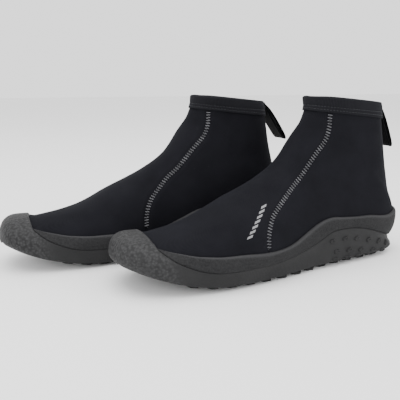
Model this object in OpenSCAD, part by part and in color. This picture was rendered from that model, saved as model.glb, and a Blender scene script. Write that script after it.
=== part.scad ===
// Pair of low neoprene water-sport boots: rubber cup sole with toe cap,
// three-panel neoprene upper, bound collar and a webbing pull tab at the heel.
// Units are millimetres. Toes point to -X, soles stand on Z = 0.

/* [Pair] */
// Distance between the two boots' centre lines
pair_gap = 91; // [90:1:140]
// How far the right boot stands ahead of the left one
pair_stagger = 86; // [0:2:110]
// Toe-out angle of each boot, degrees
toe_out = 2.6; // [0:0.2:6]

/* [Upper] */
// Neoprene thickness
neoprene = 3; // [2:0.5:4]
// Height of the folded collar binding
binding_h = 14; // [10:0.5:16]
// Thickness of the binding fabric
binding_t = 1.2; // [0.8:0.1:1.6]
// Width of the zigzag stitching on each seam
stitch_w = 4.6; // [3:0.2:6]
// Number of zigzag legs on each seam
stitch_n = 46; // [30:2:60]

/* [Rubber] */
// Thickness of the foxing band around the upper
band_t = 3.4; // [2.5:0.1:4]
// Depth of the tread under the sole
tread_h = 1.8; // [1.2:0.2:2]
// Height of the oval nubs on the heel flanks
nub_h = 1.2; // [0.6:0.2:2]

/* [Inside] */
// Thickness of the insole board
board_t = 1.8; // [1.2:0.2:2.4]

/* [Pull tab] */
// Length of the hanging webbing loop
tab_len = 43; // [25:1:45]
// Width of the webbing
tab_w = 22; // [16:1:26]
// Angle the left loop stands away from vertical, degrees
left_tab_angle = 24; // [18:1:60]
// Angle the right loop stands away from vertical, degrees
right_tab_angle = 34; // [18:1:60]

/* [Hidden] */
// Cross-sections from toe to collar: top x z, bottom x z,
// half-width outside and inside, share of the height where it is widest
last = [
  [288.5, 25.5, 288.5, 25.5, 0.1, 0.1, 0.5],
  [289.5, 31, 283, 21.5, 16, 17, 0.45],
  [282, 43, 270, 18, 31, 31.5, 0.4],
  [255, 46, 244, 12, 41, 37, 0.36],
  [220, 54, 215, 9, 48, 40, 0.32],
  [185, 71, 185, 8, 50, 39, 0.3],
  [151, 87, 150, 8, 47, 36, 0.3],
  [127, 104, 107, 8, 38, 34, 0.32],
  [112, 127, 54, 8, 33, 31.5, 0.36],
  [103, 139, 5, 11, 31.5, 30.5, 0.4],
  [99, 148, -11, 33, 30, 29.5, 0.45],
  [97, 152.5, -2, 59, 29, 28.5, 0.5],
  [96, 156, 6, 91, 28.5, 28, 0.5],
  [95.7, 158.5, 13, 124, 29, 28.5, 0.5],
  [95.5, 161, 20, 154.5, 31, 31, 0.5]
];
// The same cross-sections over the rubber of the toe cap and sole
shell = [
  [293.5, 27, 293.5, 27, 0.1, 0.1, 0.5],
  [294, 34, 288, 22.5, 20, 21, 0.45],
  [284.5, 47.5, 271.5, 16, 35.5, 36, 0.4],
  [256, 50.5, 245, 8, 46, 42, 0.36],
  [220, 58.5, 215, 2.8, 53, 45, 0.32],
  [185, 75, 185, 1.8, 55, 44, 0.3],
  [151, 91, 150, 1.8, 52, 41, 0.3],
  [127, 108, 104, 1.8, 43, 39, 0.32],
  [114, 131, 51, 2.2, 38.5, 37, 0.34],
  [107, 143, -1, 7, 37, 36, 0.36],
  [104, 152, -17, 30, 35, 34.5, 0.42],
  [101, 157, -9, 58, 34, 33.5, 0.5]
];
// Side seam from the collar down, as section number and angle round it
seam = [[14, 43], [12.6, 42.5], [11.2, 41], [10, 39.5], [9, 39.5],
        [8, 41.5], [7.3, 42], [6.7, 43.5], [6.2, 48], [5.8, 55],
        [5.6, 64], [5.5, 76], [5.5, 95], [5.5, 120], [5.5, 135], [5.5, 150]];
// Top edge and lower edge of the foxing band from the toe cap to the back
band_top = [[2.62, 46], [2.85, 53], [3.1, 59], [3.45, 67], [3.8, 72],
            [4.2, 77], [4.8, 83], [5.3, 87.5], [5.8, 90], [6.3, 90],
            [6.8, 87.5], [7.2, 86], [7.55, 87], [7.9, 90.5], [8.3, 95],
            [8.8, 100], [9.15, 108], [9.6, 122], [10.1, 138],
            [10.45, 158], [10.6, 180]];
band_low = [[2.62, 52], [2.75, 64], [2.95, 76], [3.3, 87], [3.65, 94],
            [4, 99], [4.6, 104], [5.2, 108], [5.75, 110], [6.3, 109],
            [6.85, 106], [7.2, 101.5], [7.5, 98.5], [7.85, 101.5],
            [8.2, 106.5], [8.5, 112.5], [8.75, 121], [8.97, 132],
            [9.15, 145], [9.3, 161], [9.37, 180]];
// Steps along these edges
sole_u = [0.5, 1, 2, 3, 4, 5, 6, 7, 8, 9, 10, 11, 12, 13, 14, 15, 15.6, 16.2, 16.8, 17.4, 18,
          18.5, 19];
// Angle of the rubber sole's upper edge at each section from the toe cap
lip = [for (i = [0:len(band_low) - 2]) band_low[i]];
gap = 0.15;
loose = 0.5;
cap_t = band_t*1.05;

function cr(a, b, c, d, f) =
  b + 0.5*f*(c - a + f*(2*a - 5*b + 4*c - d + f*(3*(b - c) + d - a)));
function at(tab, t) =
  let (n = len(tab), i = max(0, min(n - 2, floor(t))), b = tab[i], c = tab[i + 1])
  cr(i == 0 ? 2*b - c : tab[i - 1], b, c, i == n - 2 ? 2*c - b : tab[i + 2], t - i);
// Point on a section: v is 0 on top, 90 outside, 180 below, 270 inside
function sec(tab, t, v, nb = 2.6) =
  let (s = at(tab, t), c = cos(v), n = c > 0 ? 2.1 : nb, k = pow(abs(c), 2/n),
       q = c > 0 ? s[6] + (1 - s[6])*k : s[6]*(1 - k),
       w = v < 180 ? s[4] : s[5])
  [s[2] + q*(s[0] - s[2]), sign(sin(v))*w*pow(abs(sin(v)), 2/n), s[3] + q*(s[1] - s[3])];
function unit(a) = a/max(norm(a), 1e-6);
function out(t, v) =
  unit(cross(sec(last, t, v + 3) - sec(last, t, v - 3),
             sec(last, min(t + 0.06, 14), v) - sec(last, max(t - 0.06, 0.1), v)));
function skin(t, v, o = 0) = sec(last, t, v) + o*out(t, v);
// The same seam on either side of the boot; the inner one ends further back
function seam_side(s, outer) =
  outer ? s : [s[0] + 0.32*ramp((6.9 - s[0])/1.1)*min(1, (180 - s[1])/60), 360 - s[1]];
function ramp(a) = let (f = max(0, min(1, a))) f*f*(3 - 2*f);
// Outside of the sole: follows the upper at its top edge, squarer below
function square(t) = 2.6 + 3.2*ramp((t - 1)/2)*ramp((10.6 - t)/2.2);
// Extra rubber over the toe
function bumper(t) = 2.5*ramp(t/1.2)*ramp((2.7 - t)/1.1);
function cup(t, v) =
  let (a = v > 180 ? 360 - v : v, g = ramp((a - lookup(t, lip))/32))
  skin(t, v, cap_t + bumper(t))*(1 - g) + sec(shell, t, v, square(t))*g;

// Solid between an outer and an inner grid. Rows up to k1 close round into
// rings, later rows only use columns j1 to j2. tips closes the first ring.
module slab(o, i, k1 = 0, j1 = 0, j2 = -1, tips = []) {
  n = len(o);
  m = len(o[0]);
  e = j2 < 0 ? m - 1 : j2;
  s = n*m;
  rings = [for (r = [0:1:k1 - 1], j = [0:m - 1]) [r, j, (j + 1) % m]];
  open = [for (r = [k1:1:n - 2], j = [j1:e - 1]) [r, j, j + 1]];
  all = concat(rings, open);
  first = len(tips) > 0 ? [] : k1 > 0 ? [for (j = [0:m - 1]) [j, (j + 1) % m]]
        : [for (j = [j1:e - 1]) [j, j + 1]];
  last_r = k1 == n - 1 ? [] : [for (j = [j1:e - 1]) [(n - 1)*m + j, (n - 1)*m + j + 1]];
  turn = k1 == 0 ? [] : k1 == n - 1 ? [for (j = [0:m - 1]) [k1*m + j, k1*m + (j + 1) % m]]
       : [for (j = [0:m - 1]) if (j < j1 || j >= e) [k1*m + j, k1*m + (j + 1) % m]];
  faces = concat(
    [for (q = all) [q[0]*m + q[1], q[0]*m + m + q[1], q[0]*m + m + q[2]]],
    [for (q = all) [q[0]*m + q[1], q[0]*m + m + q[2], q[0]*m + q[2]]],
    [for (q = all) [s + q[0]*m + m + q[2], s + q[0]*m + m + q[1], s + q[0]*m + q[1]]],
    [for (q = all) [s + q[0]*m + q[2], s + q[0]*m + m + q[2], s + q[0]*m + q[1]]],
    [for (q = first) each [[q[0], q[1], s + q[1]], [q[0], s + q[1], s + q[0]]]],
    [for (q = concat(last_r, turn)) each [[q[1], q[0], s + q[0]], [q[1], s + q[0], s + q[1]]]],
    [for (r = [k1:1:n - 2]) each
      [[(r + 1)*m + j1, r*m + j1, s + r*m + j1],
       [(r + 1)*m + j1, s + r*m + j1, s + (r + 1)*m + j1],
       [r*m + e, (r + 1)*m + e, s + (r + 1)*m + e],
       [r*m + e, s + (r + 1)*m + e, s + r*m + e]]],
    len(tips) == 0 ? [] : [for (j = [0:m - 1]) each
      [[j, (j + 1) % m, 2*s], [s + (j + 1) % m, s + j, 2*s + 1]]]);
  polyhedron(concat([for (r = o) each r], [for (r = i) each r], tips), faces);
}

// Closed loft through rings of points; wrap joins the last ring to the first
module loft(rings, wrap = false) {
  n = len(rings);
  m = len(rings[0]);
  faces = concat(
    [for (i = [0:wrap ? n - 1 : n - 2], j = [0:m - 1])
      let (a = i*m, b = ((i + 1) % n)*m, k = (j + 1) % m)
      each [[a + j, b + k, b + j], [a + j, a + k, b + k]]],
    wrap ? [] : [[for (j = [m - 1:-1:0]) j], [for (j = [0:m - 1]) (n - 1)*m + j]]);
  polyhedron([for (r = rings) each r], faces);
}

// Puts one boot in place: side is 1 for the left boot, -1 for the right one
module place(side) {
  translate([side*pair_stagger/2 - 8.7, -side*pair_gap/2, 0])
    rotate([0, 0, 180 + side*toe_out])
      mirror([0, side < 0 ? 1 : 0, 0])
        translate([-150, 0, 0])
          children();
}

// ---- upper ----
toe_rows = [0.35, 0.7, 1.05, 1.5, 2, 2.6, 3.2, 3.8, 4.5, 5.2];
seam_n = len(seam);
// Rear edge of the vamp, one point for each column round the boot
half_v = [0, 9, 17, 24, 28, 31.5, 34.5, 37.5, 40.5, 43.5, 47, 51.5, 57, 65, 76, 95, 120, 135, 150,
          165];
half_e = concat([[14, 0], [14, 15], [14, 29]], seam, [[5.5, 165], [5.5, 180]]);
vamp_v = concat(half_v, [180], [for (i = [len(half_v) - 1:-1:1]) 360 - half_v[i]]);
vamp_e = concat(half_e, [for (i = [len(half_v) - 1:-1:1]) seam_side(half_e[i], false)]);
module vamp() {
  m = len(vamp_v);
  bed = 7;
  tv = concat(
    [for (t = toe_rows) [for (v = vamp_v) [t, v]]],
    [for (k = [1:bed]) [for (j = [0:m - 1])
      let (e = vamp_e[j], f = k/bed, g = k == bed ? gap/30 : 0)
      [5.2 + f*(e[0] - 5.2 - g), vamp_v[j] + f*(e[1] - vamp_v[j])
        + (j == 0 || e[1] == 180 ? 0 : e[1] < 180 ? -0.25 : 0.25)*(k == bed && e[0] < 14 ? 1 : 0)]]]);
  slab([for (r = tv) [for (p = r) skin(p[0], p[1])]],
       [for (r = tv) [for (p = r) skin(p[0], p[1], -neoprene)]],
       k1 = len(tv) - 1,
       tips = [sec(last, 0, 0), sec(last, 0, 0) + [-neoprene, 0, 0]]);
}
back_t = [14, 13.3, 12.7, 12.1, 11.5, 11, 10.6, 10.2, 9.8, 9.4, 9, 8.5, 7.9, 7.1, 6.6, 6.2];
module quarter(outer) {
  m = 9;
  tv = [for (k = [0:m]) [for (j = [0:seam_n - 1])
    let (f = k/m, s = seam_side(seam[j], outer), g = outer ? 0.25 : -0.25,
         v = s[1] + g + f*(180 - 0.4*g - s[1] - g),
         t = s[0] + (s[0] < 14 ? gap/30 : 0) + f*(back_t[j] - s[0]))
    [t, v]]];
  o = [for (r = tv) [for (p = r) skin(p[0], p[1])]];
  i = [for (r = tv) [for (p = r) skin(p[0], p[1], -neoprene)]];
  if (outer) slab(o, i);
  else slab([for (k = [m:-1:0]) o[k]], [for (k = [m:-1:0]) i[k]]);
}

// Section number that lies s mm below the collar edge at angle v
function drop(v, s, t = 14, a = 0) =
  t <= 9.2 || a >= s ? t
  : drop(v, s, t - 0.1, a + norm(skin(t, v) - skin(t - 0.1, v)));
module collar_binding() {
  rings = [for (v = [0:10:350])
    let (h = binding_h*(1 - 0.1*cos(v)), tl = drop(v, h), ti = drop(v, h - 3),
         e = skin(14, v), n = out(14, v),
         d = unit(skin(14, v) - skin(13.7, v)),
         lo = skin(tl, v), nl = out(tl, v), mi = skin(drop(v, h/2), v), nm = out(drop(v, h/2), v),
         li = skin(ti, v, -neoprene), ni = out(ti, v), a = 0.3,
         b = a + binding_t, c = 0.3)
    [lo + nl*a, lo + nl*b*0.9, mi + nm*(b + 0.4), e + n*b, e + n*0.4*b + d*b,
     e - n*(neoprene + 0.4*b) + d*b, e - n*(neoprene + c + b), li - ni*(c + b), li - ni*(c + a),
     e - n*(neoprene + c + a), e - n*(neoprene + c + a) + d*a, e + n*a + d*a, e + n*a, mi + nm*a]];
  loft(rings, wrap = true);
}

// Zigzag of thread lying on the skin along a seam
function seam_at(u) =
  let (n = seam_n - 1, i = min(n - 1, floor(u)), f = u - i)
  cr(seam[max(0, i - 1)], seam[i], seam[i + 1], seam[min(n, i + 2)], f);
module seam_thread(outer) {
  u0 = 2.1;
  u1 = 11.1;
  r = 0.5;
  rings = [for (k = [0:stitch_n])
    let (u = u0 + (u1 - u0)*k/stitch_n,
         p = seam_side(seam_at(u), outer), q = seam_side(seam_at(u + 0.1), outer),
         c = skin(p[0], p[1]), n = out(p[0], p[1]),
         along = unit(skin(q[0], q[1]) - c), across = unit(cross(n, along)),
         w = c + across*(k % 2 == 0 ? 0.5 : -0.5)*stitch_w + n*0.6)
    [w + across*r, w - across*r, w - across*r + n*r, w + across*r + n*r]];
  loft(rings);
}

// Generic print beside the outer seam: short slanted bars
module side_print() {
  for (k = [0:6])
    loft([for (f = [0, 1])
      let (t = 4.95 + 0.1*k + 0.04*f, v = 67 - 4*k - 2.4*f)
      [skin(t - 0.1, v, 0.1), skin(t + 0.1, v, 0.1), skin(t + 0.1, v, 0.3), skin(t - 0.1, v, 0.3)]]);
}

// ---- rubber ----
function part_way(tab, u) =
  let (n = len(tab) - 1, i = min(n - 1, floor(u)), f = u - i)
  cr(tab[max(0, i - 1)], tab[i], tab[i + 1], tab[min(n, i + 2)], f);
module foxing_band() {
  n = len(band_top) - 1;
  us = concat([0], sole_u, [19.5, n]);
  half = [for (u = us)
    let (a = part_way(band_top, u), b = a + 0.97*(part_way(band_low, u) - a), c = 0.5*(a + b))
    [a, c, b]];
  path = concat([for (h = half) h],
    [for (i = [len(half) - 2:-1:0]) [for (p = half[i]) [p[0], 360 - p[1]]]]);
  loft([for (h = path)
    let (a = h[0], c = h[1], b = h[2], g = 0.8 + 0.6*ramp(b[0] - 8.3))
    [skin(a[0], a[1], g), skin(c[0], c[1], g), skin(b[0], b[1], g),
     skin(b[0], b[1], band_t*1.05), skin(c[0], c[1], band_t*1.1), skin(a[0], a[1], band_t*0.75)]]);
}
cap_cols = [0, 9, 18, 27, 36, 45, 52];
module outsole() {
  n = 15;
  m = 7;
  k1 = 7;
  cap_t = [0.35, 0.7, 1.05, 1.5, 1.9, 2.3, 2.62];
  ring = concat([for (j = [0:m - 1]) cap_cols[j]],
    [for (j = [1:n - 1]) 52 + j*(360 - 104)/n],
    [for (j = [m - 1:-1:1]) 360 - cap_cols[j]]);
  cols = len(ring);
  rows = concat(
    [for (t = cap_t) [for (v = ring) [t, v]]],
    [for (u = sole_u)
      let (p = part_way(lip, u), v = p[1])
      [for (j = [0:cols - 1])
        let (f = (j - m + 1)/n)
        [p[0], j < m - 1 || j > cols - m + 1 ? ring[j] : v + f*(360 - 2*v)]]]);
  slab([for (r = rows) [for (p = r) cup(p[0], p[1])]],
       [for (r = rows) [for (p = r) skin(p[0], p[1], loose)]],
       k1 = k1 - 1, j1 = m - 1, j2 = cols - m + 1,
       tips = [sec(shell, 0, 0), sec(last, 0, 0) + [loose, 0, 0]]);
}
// Tread bars across the sole, tallest where the sole stands on the ground
function under(x) = 22.5*pow(max(0, x - 195)/95, 2) + 4.5*pow(max(0, 45 - x)/45, 2);
function foot_w(x, out) =
  let (t = x > 215 ? 4 - (x - 215)/29.5 : x > 51 ? 8 - 4*(x - 51)/164 : 9 - (x - 6)/45)
  at(shell, t)[out ? 4 : 5];
module tread() {
  for (x = [24:17.5:235]) {
    a = x - 6;
    b = x + 6;
    loft([for (f = [-1:0.25:1])
      let (o = f > 0, y = f*(foot_w(x, o) - 9), s = 3*(1 - abs(f)))
      [[a + s, y, under(a + s)], [b + s, y, under(b + s)],
       [b + s, y, under(b + s) + tread_h - 0.25], [a + s, y, under(a + s) + tread_h - 0.25]]]);
  }
}
// Oval nubs in three rows on both heel flanks
nub_rows = [[[7.45, 107], [7.8, 110], [8.12, 115.5], [8.42, 122.5], [8.68, 131.5], [8.88, 143]],
            [[7.5, 117], [7.82, 121], [8.12, 127], [8.4, 135], [8.62, 146]],
            [[7.42, 128], [7.72, 131], [8, 137], [8.25, 145]]];
module heel_nubs() {
  for (side = [0, 1], r = nub_rows, p = r) {
    v = side == 0 ? p[1] : 360 - p[1];
    c = cup(p[0], v);
    n = unit(cross(cup(p[0], v + 2) - cup(p[0], v - 2), cup(p[0] + 0.05, v) - cup(p[0] - 0.05, v)));
    along = unit(cup(p[0] - 0.1, v) - c);
    up = cross(n, along);
    loft([for (k = [0, 1])
      [for (a = [315:-45:0])
        c + n*(0.3 + k*nub_h) + (1 - 0.25*k)*(along*3.4*cos(a) + up*2*sin(a))]]);
  }
}

// ---- inside ----
module inner_sheet(t0, t1, low, high, arc, flat) {
  n = 20;
  m = 8;
  ts = [for (i = [0:n]) t0 + (t1 - t0)*i/n];
  vs = [for (j = [0:m]) 180 - arc + 2*arc*j/m];
  b = [for (t = ts) [for (v = vs) skin(t, v, -low)]];
  h = [for (i = [0:n]) [for (j = [0:m])
    let (p = skin(ts[i], vs[j], -high), a = skin(ts[i], vs[0], -high), c = skin(ts[i], vs[m], -high),
         f = j/m, w = 1 - pow(2*f - 1, 4))
    flat ? p + w*0.75*(a + f*(c - a) - p) : p]];
  slab(b, h);
}
module insole_board() {
  inner_sheet(1.4, 8.8, neoprene + 0.9, neoprene + 0.9 + board_t, 40, false);
}
module footbed() {
  inner_sheet(1.45, 8.75, neoprene + board_t + 1.1, neoprene + board_t + 3.5, 46, true);
}

// ---- pull tab ----
root = [14.2, 149.5];
module pull_tab(angle) {
  l = tab_len;
  t = 1.3;
  g = 0.9;
  translate([root[0], 0, root[1]])
    rotate([0, angle, 0])
      rotate([90, 0, 0])
        linear_extrude(tab_w, center = true)
          difference() {
            polygon([[-1, 1], [-g - t, -4], [-g - t - 0.5, -l*0.5], [-g - t - 0.2, -l + 4],
                     [-1.2, -l + 0.8], [0, -l], [1.2, -l + 0.8], [g + t + 0.2, -l + 4],
                     [g + t + 0.5, -l*0.5], [g + t, -4], [1, 1]]);
            polygon([[0, -5], [-g, -9], [-g - 0.5, -l*0.5], [-g, -l + 5], [0, -l + 2.4],
                     [g, -l + 5], [g + 0.5, -l*0.5], [g, -9]]);
          }
}

module left_outsole() color("dimgray") place(1) outsole();
module left_tread() color("dimgray") place(1) tread();
module left_heel_nubs() color("dimgray") place(1) heel_nubs();
module left_foxing_band() color("gray") place(1) foxing_band();
module left_vamp() color([0.1, 0.1, 0.12]) place(1) vamp();
module left_outer_quarter() color([0.1, 0.1, 0.12]) place(1) quarter(true);
module left_inner_quarter() color([0.1, 0.1, 0.12]) place(1) quarter(false);
module left_collar_binding() color([0.15, 0.15, 0.17]) place(1) collar_binding();
module left_outer_seam_thread() color("lightgray") place(1) seam_thread(true);
module left_inner_seam_thread() color("lightgray") place(1) seam_thread(false);
module left_side_print() color("lightgray") place(1) side_print();
module left_insole_board() color("tan") place(1) insole_board();
module left_footbed() color([0.2, 0.2, 0.22]) place(1) footbed();
module left_pull_tab() color("black") place(1) pull_tab(left_tab_angle);
module right_outsole() color("dimgray") place(-1) outsole();
module right_tread() color("dimgray") place(-1) tread();
module right_heel_nubs() color("dimgray") place(-1) heel_nubs();
module right_foxing_band() color("gray") place(-1) foxing_band();
module right_vamp() color([0.1, 0.1, 0.12]) place(-1) vamp();
module right_outer_quarter() color([0.1, 0.1, 0.12]) place(-1) quarter(true);
module right_inner_quarter() color([0.1, 0.1, 0.12]) place(-1) quarter(false);
module right_collar_binding() color([0.15, 0.15, 0.17]) place(-1) collar_binding();
module right_outer_seam_thread() color("lightgray") place(-1) seam_thread(true);
module right_inner_seam_thread() color("lightgray") place(-1) seam_thread(false);
module right_side_print() color("lightgray") place(-1) side_print();
module right_insole_board() color("tan") place(-1) insole_board();
module right_footbed() color([0.2, 0.2, 0.22]) place(-1) footbed();
module right_pull_tab() color("black") place(-1) pull_tab(right_tab_angle);

left_outsole();
left_tread();
left_heel_nubs();
left_foxing_band();
left_vamp();
left_outer_quarter();
left_inner_quarter();
left_collar_binding();
left_outer_seam_thread();
left_inner_seam_thread();
left_side_print();
left_insole_board();
left_footbed();
left_pull_tab();
right_outsole();
right_tread();
right_heel_nubs();
right_foxing_band();
right_vamp();
right_outer_quarter();
right_inner_quarter();
right_collar_binding();
right_outer_seam_thread();
right_inner_seam_thread();
right_side_print();
right_insole_board();
right_footbed();
right_pull_tab();
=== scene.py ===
"""Looks of a pair of low neoprene boots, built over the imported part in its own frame."""
import math
import bpy
import numpy as np
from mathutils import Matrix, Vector, noise


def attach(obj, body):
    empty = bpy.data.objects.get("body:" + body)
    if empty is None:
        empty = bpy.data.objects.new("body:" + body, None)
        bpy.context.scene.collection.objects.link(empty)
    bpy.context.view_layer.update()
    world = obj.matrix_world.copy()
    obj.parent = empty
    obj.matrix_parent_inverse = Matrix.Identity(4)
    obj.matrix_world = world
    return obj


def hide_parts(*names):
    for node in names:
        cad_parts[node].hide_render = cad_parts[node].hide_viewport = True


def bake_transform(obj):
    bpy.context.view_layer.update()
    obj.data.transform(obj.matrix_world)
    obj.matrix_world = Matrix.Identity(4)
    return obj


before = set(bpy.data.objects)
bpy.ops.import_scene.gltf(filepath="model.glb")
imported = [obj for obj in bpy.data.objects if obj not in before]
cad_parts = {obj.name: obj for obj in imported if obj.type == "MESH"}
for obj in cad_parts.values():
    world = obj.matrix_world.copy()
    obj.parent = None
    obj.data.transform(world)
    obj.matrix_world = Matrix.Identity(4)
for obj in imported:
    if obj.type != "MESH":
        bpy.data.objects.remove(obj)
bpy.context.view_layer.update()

# ---------------------------------------------------------------- shape of the boot, mm
# Sections from toe to collar: top x z, bottom x z, half-width outside, inside, widest share
LAST = np.array([
    [288.5, 25.5, 288.5, 25.5, 0.1, 0.1, 0.5], [289.5, 31, 283, 21.5, 16, 17, 0.45],
    [282, 43, 270, 18, 31, 31.5, 0.4], [255, 46, 244, 12, 41, 37, 0.36],
    [220, 54, 215, 9, 48, 40, 0.32], [185, 71, 185, 8, 50, 39, 0.3],
    [151, 87, 150, 8, 47, 36, 0.3], [127, 104, 107, 8, 38, 34, 0.32],
    [112, 127, 54, 8, 33, 31.5, 0.36], [103, 139, 5, 11, 31.5, 30.5, 0.4],
    [99, 148, -11, 33, 30, 29.5, 0.45], [97, 152.5, -2, 59, 29, 28.5, 0.5],
    [96, 156, 6, 91, 28.5, 28, 0.5], [95.7, 158.5, 13, 124, 29, 28.5, 0.5],
    [95.5, 161, 20, 154.5, 31, 31, 0.5]], float)
SHELL = np.array([
    [293.5, 27, 293.5, 27, 0.1, 0.1, 0.5], [294, 34, 288, 22.5, 20, 21, 0.45],
    [284.5, 47.5, 271.5, 16, 35.5, 36, 0.4], [256, 50.5, 245, 8, 46, 42, 0.36],
    [220, 58.5, 215, 2.8, 53, 45, 0.32], [185, 75, 185, 1.8, 55, 44, 0.3],
    [151, 91, 150, 1.8, 52, 41, 0.3], [127, 108, 104, 1.8, 43, 39, 0.32],
    [114, 131, 51, 2.2, 38.5, 37, 0.34], [107, 143, -1, 7, 37, 36, 0.36],
    [104, 152, -17, 30, 35, 34.5, 0.42], [101, 157, -9, 58, 34, 33.5, 0.5]], float)
SEAM = np.array([[14, 43], [12.6, 42.5], [11.2, 41], [10, 39.5], [9, 39.5], [8, 41.5],
                 [7.3, 42], [6.7, 43.5], [6.2, 48], [5.8, 55], [5.6, 64], [5.5, 76],
                 [5.5, 95], [5.5, 120], [5.5, 135], [5.5, 150]], float)
BACK = np.array([14, 13.3, 12.7, 12.1, 11.5, 11, 10.6, 10.2, 9.8, 9.4, 9, 8.5, 7.9, 7.1, 6.6, 6.2])
BAND_TOP = np.array([[2.62, 46], [2.85, 53], [3.1, 59], [3.45, 67], [3.8, 72], [4.2, 77],
                     [4.8, 83], [5.3, 87.5], [5.8, 90], [6.3, 90], [6.8, 87.5], [7.2, 86],
                     [7.55, 87], [7.9, 90.5], [8.3, 95], [8.8, 100], [9.15, 108],
                     [9.6, 122], [10.1, 138], [10.45, 158], [10.6, 180]], float)
BAND_LOW = np.array([[2.62, 52], [2.75, 64], [2.95, 76], [3.3, 87], [3.65, 94], [4, 99],
                     [4.6, 104], [5.2, 108], [5.75, 110], [6.3, 109], [6.85, 106],
                     [7.2, 101.5], [7.5, 98.5], [7.85, 101.5], [8.2, 106.5], [8.5, 112.5],
                     [8.75, 121], [8.97, 132], [9.15, 145], [9.3, 161], [9.37, 180]], float)
NEO = 3.0            # thickness of the neoprene
CAP_T = 3.57         # thickness of the rubber round the toes
GAP = 0.15           # between upper and cup sole
T_COLLAR = 14.0      # station of the collar's edge
# How the pair stands: toes turned out (degrees), half the stagger, half the distance, shift
TOE_OUT, STAGGER, APART, SHIFT_X = 2.6, 43, 45.5, 8.7
MID_X = 150          # middle of the boot's own length


def catmull(tab, u, hold=True):
    u = np.asarray(u, float)
    n = len(tab)
    i = np.clip(np.floor(u).astype(int), 0, n - 2)
    f = (u - i)[..., None]
    b, c = tab[i], tab[i + 1]
    first = b if hold else 2*b - c
    final = c if hold else 2*c - b
    a = np.where((i == 0)[..., None], first, tab[np.maximum(i - 1, 0)])
    d = np.where((i == n - 2)[..., None], final, tab[np.minimum(i + 2, n - 1)])
    return b + 0.5*f*(c - a + f*(2*a - 5*b + 4*c - d + f*(3*(b - c) + d - a)))


def sec(tab, t, v, nb=2.6):
    t, v = np.broadcast_arrays(np.asarray(t, float), np.asarray(v, float) % 360)
    s = catmull(tab, t, hold=False)
    r = np.radians(v)
    c, sn = np.cos(r), np.sin(r)
    n = np.where(c > 0, 2.1, nb)
    k = np.abs(c)**(2/n)
    m = s[..., 6]
    q = np.where(c > 0, m + (1 - m)*k, m*(1 - k))
    w = np.where(v < 180, s[..., 4], s[..., 5])
    y = np.sign(sn)*w*np.abs(sn)**(2/n)
    return np.stack([s[..., 2] + q*(s[..., 0] - s[..., 2]), y,
                     s[..., 3] + q*(s[..., 1] - s[..., 3])], -1)


def unit(a):
    return a/np.maximum(np.linalg.norm(a, axis=-1, keepdims=True), 1e-9)


def out(t, v):
    t, v = np.broadcast_arrays(np.asarray(t, float), np.asarray(v, float))
    dv = sec(LAST, t, v + 2.5) - sec(LAST, t, v - 2.5)
    dt = sec(LAST, np.minimum(t + 0.06, 14), v) - sec(LAST, np.maximum(t - 0.06, 0.06), v)
    return unit(np.cross(dv, dt))


def skin(t, v, o=0.0):
    return sec(LAST, t, v) + np.asarray(o)[..., None]*out(t, v)


def ramp(a):
    f = np.clip(a, 0, 1)
    return f*f*(3 - 2*f)


def cup(t, v, o=CAP_T):
    t, v = np.broadcast_arrays(np.asarray(t, float), np.asarray(v, float))
    a = np.where(v > 180, 360 - v, v)
    lip = np.interp(t, BAND_LOW[:-1, 0], BAND_LOW[:-1, 1])
    g = ramp((a - lip)/32)[..., None]
    sq = 2.6 + 3.2*ramp((t - 1)/2)*ramp((10.6 - t)/2.2)
    o = o + 2.5*ramp(t/1.2)*ramp((2.7 - t)/1.1)
    return skin(t, v, o)*(1 - g) + sec(SHELL, t, v, sq)*g


def seam_side(tv, outer):
    """The seam on one side of the boot; the inner one ends further back."""
    if outer:
        return tv
    t, v = tv[..., 0], tv[..., 1]
    return np.stack([t + 0.32*ramp((6.9 - t)/1.1)*np.minimum(1, (180 - v)/60), 360 - v], -1)


def away(points, curve):
    """Distance from each point to the nearest of a dense curve's points."""
    p = points.reshape(-1, 3)
    d = np.empty(len(p))
    for i in range(0, len(p), 4000):
        q = p[i:i + 4000]
        d[i:i + 4000] = np.sqrt(((q[:, None, :] - curve[None])**2).sum(-1).min(1))
    return d.reshape(points.shape[:-1])


def bumps(points, scale, seed=0.0):
    p = points.reshape(-1, 3)*scale
    v = [noise.noise(Vector((a[0] + seed, a[1] - seed, a[2] + 2*seed))) for a in p]
    return np.array(v).reshape(points.shape[:-1])


def even(curve, step):
    """Points along a curve every step mm."""
    s = np.r_[0, np.cumsum(np.linalg.norm(np.diff(curve, axis=0), axis=1))]
    return s, np.arange(0, s[-1], step)


# ---------------------------------------------------------------- placing and meshes
def place(p, side):
    """Boot's own millimetres to the shared frame's metres; side is 1 for left, -1 for right."""
    p = np.array(p, float)
    shape = p.shape
    p = p.reshape(-1, 3)
    x, y, z = p[:, 0] - MID_X, p[:, 1]*side, p[:, 2]
    a = math.radians(180 + side*TOE_OUT)
    return (np.stack([math.cos(a)*x - math.sin(a)*y + side*STAGGER - SHIFT_X,
                      math.sin(a)*x + math.cos(a)*y - side*APART, z], 1)/1000).reshape(shape)


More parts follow.
